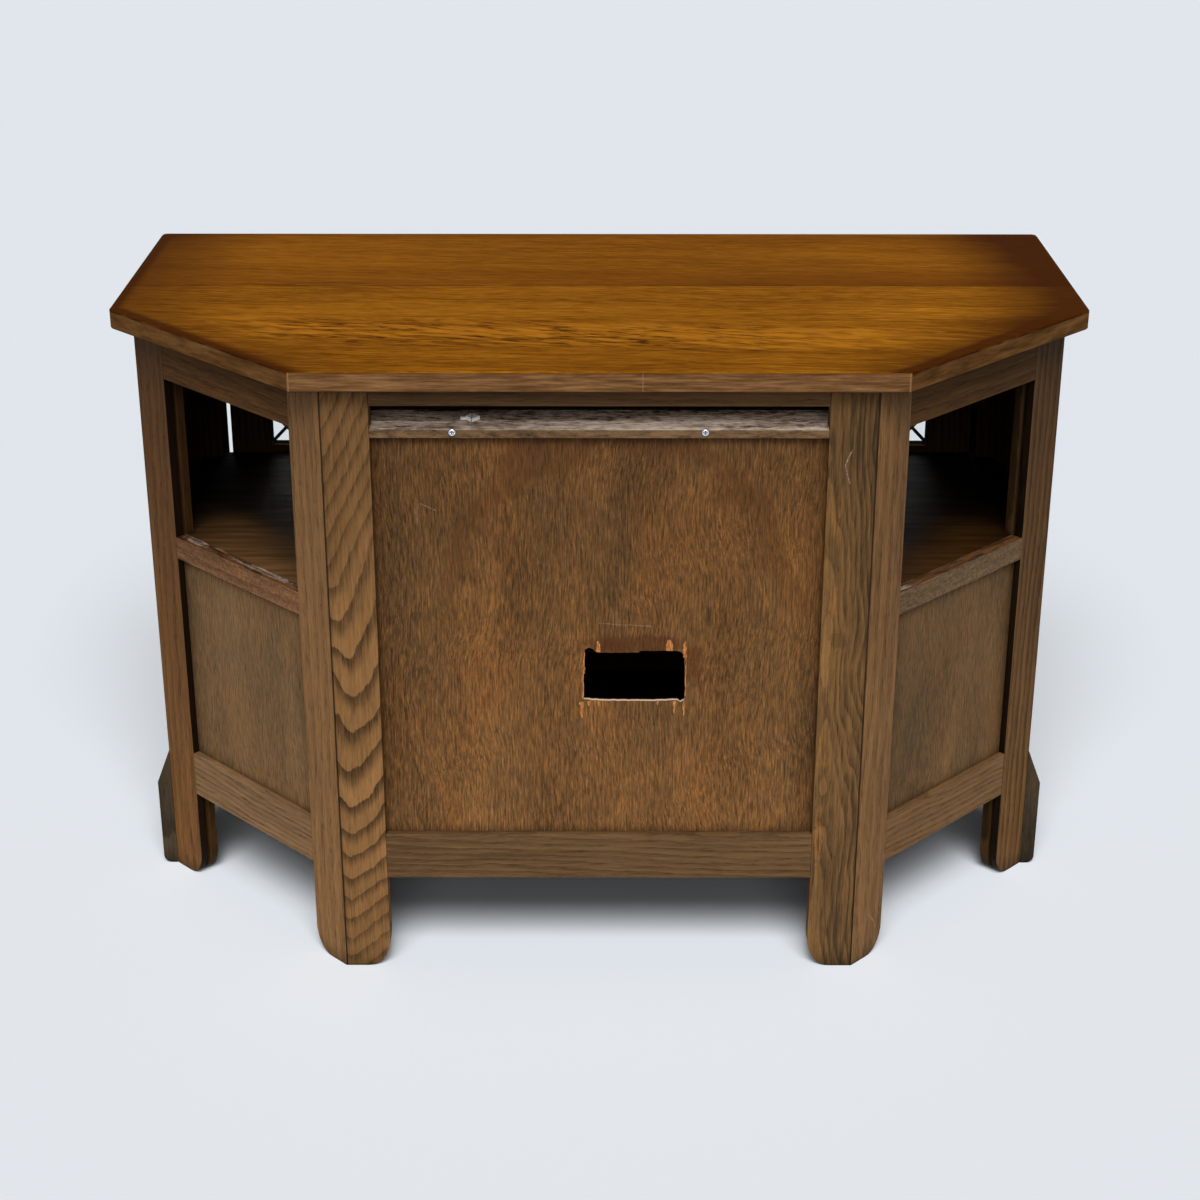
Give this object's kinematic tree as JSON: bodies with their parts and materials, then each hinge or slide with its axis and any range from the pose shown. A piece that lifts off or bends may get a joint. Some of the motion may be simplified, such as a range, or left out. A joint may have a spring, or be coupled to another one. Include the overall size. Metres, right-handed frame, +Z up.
{
  "type": "corner cabinet",
  "caption": "Low oak corner cabinet with canted rear corners, glazed and panelled front doors, a shelf, open rear corners and a sawn cable hole.",
  "frame": {"origin": "on the floor, under the middle of the top board's bounding rectangle", "axes": "+Z up, +X to the right as seen from the front, -Y out of the doors, +Y out of the back"},
  "size_m": [1.1, 0.568, 0.73],
  "materials": {
    "oak_frame": "dark stained oak with long grain, satin wax",
    "oak_panel": "stained oak, satin wax",
    "oak_top": "honey to amber polished oak, darker at its edges",
    "oak_rough": "sawn hardwood, thinly stained",
    "oak_foot": "dark stained oak, end grain at the bevels",
    "plywood": "stained plywood with fine upright grain",
    "shelf_wood": "reddish brown polished board",
    "zinc": "bright zinc plate",
    "steel": "plain steel",
    "brass": "aged brass",
    "catch_plastic": "brown moulded plastic",
    "leaded_glass": "clear glass with grey lead strips"
  },
  "bodies": {
    "cabinet": {"top_board": "oak_top", "rear_stile_left": "oak_frame", "rear_stile_right": "oak_frame", "rear_top_rail": "oak_frame", "rear_bottom_rail": "oak_frame", "rear_slot_rail": "oak_rough", "rear_screw_left": "zinc", "rear_screw_right": "zinc", "rear_panel": "plywood", "cant_left_rear_stile": "oak_frame", "cant_left_corner_stile": "oak_frame", "cant_left_top_rail": "oak_frame", "cant_left_mid_rail": "oak_frame", "cant_left_bottom_rail": "oak_frame", "cant_left_panel": "plywood", "cant_right_rear_stile": "oak_frame", "cant_right_corner_stile": "oak_frame", "cant_right_top_rail": "oak_frame", "cant_right_mid_rail": "oak_frame", "cant_right_bottom_rail": "oak_frame", "cant_right_panel": "plywood", "side_left_stile": "oak_frame", "side_left_top_rail": "oak_frame", "side_left_bottom_rail": "oak_frame", "side_left_panel": "oak_panel", "side_right_stile": "oak_frame", "side_right_top_rail": "oak_frame", "side_right_bottom_rail": "oak_frame", "side_right_panel": "oak_panel", "front_post_left": "oak_frame", "front_post_right": "oak_frame", "front_bottom_rail": "oak_frame", "front_top_rail": "oak_frame", "foot_block_rear_left": "oak_foot", "foot_block_rear_right": "oak_foot", "foot_block_front_left": "oak_foot", "foot_block_front_right": "oak_foot", "shelf": "shelf_wood", "cabinet_floor": "shelf_wood", "door_catch": "catch_plastic"},
    "left_door": {"door_left_hinge_stile": "oak_frame", "door_left_meeting_stile": "oak_frame", "door_left_top_rail": "oak_frame", "door_left_mid_rail": "oak_frame", "door_left_bottom_rail": "oak_frame", "door_left_panel": "oak_panel", "door_left_leaded_light": "leaded_glass", "door_left_knob": "brass", "door_left_upper_pin": "steel", "door_left_lower_pin": "steel"},
    "right_door": {"door_right_hinge_stile": "oak_frame", "door_right_meeting_stile": "oak_frame", "door_right_top_rail": "oak_frame", "door_right_mid_rail": "oak_frame", "door_right_bottom_rail": "oak_frame", "door_right_panel": "oak_panel", "door_right_leaded_light": "leaded_glass", "door_right_knob": "brass", "door_right_upper_pin": "steel", "door_right_lower_pin": "steel"}
  },
  "joints": [
    {"name": "left_door_hinge", "type": "hinge", "parent": "cabinet", "child": "left_door", "pos_m": [-0.4663, -0.248, 0.412], "axis": [0, 0, -1], "range_deg": [0, 110]},
    {"name": "right_door_hinge", "type": "hinge", "parent": "cabinet", "child": "right_door", "pos_m": [0.462, -0.248, 0.412], "axis": [0, 0, 1], "range_deg": [0, 110]}
  ]
}
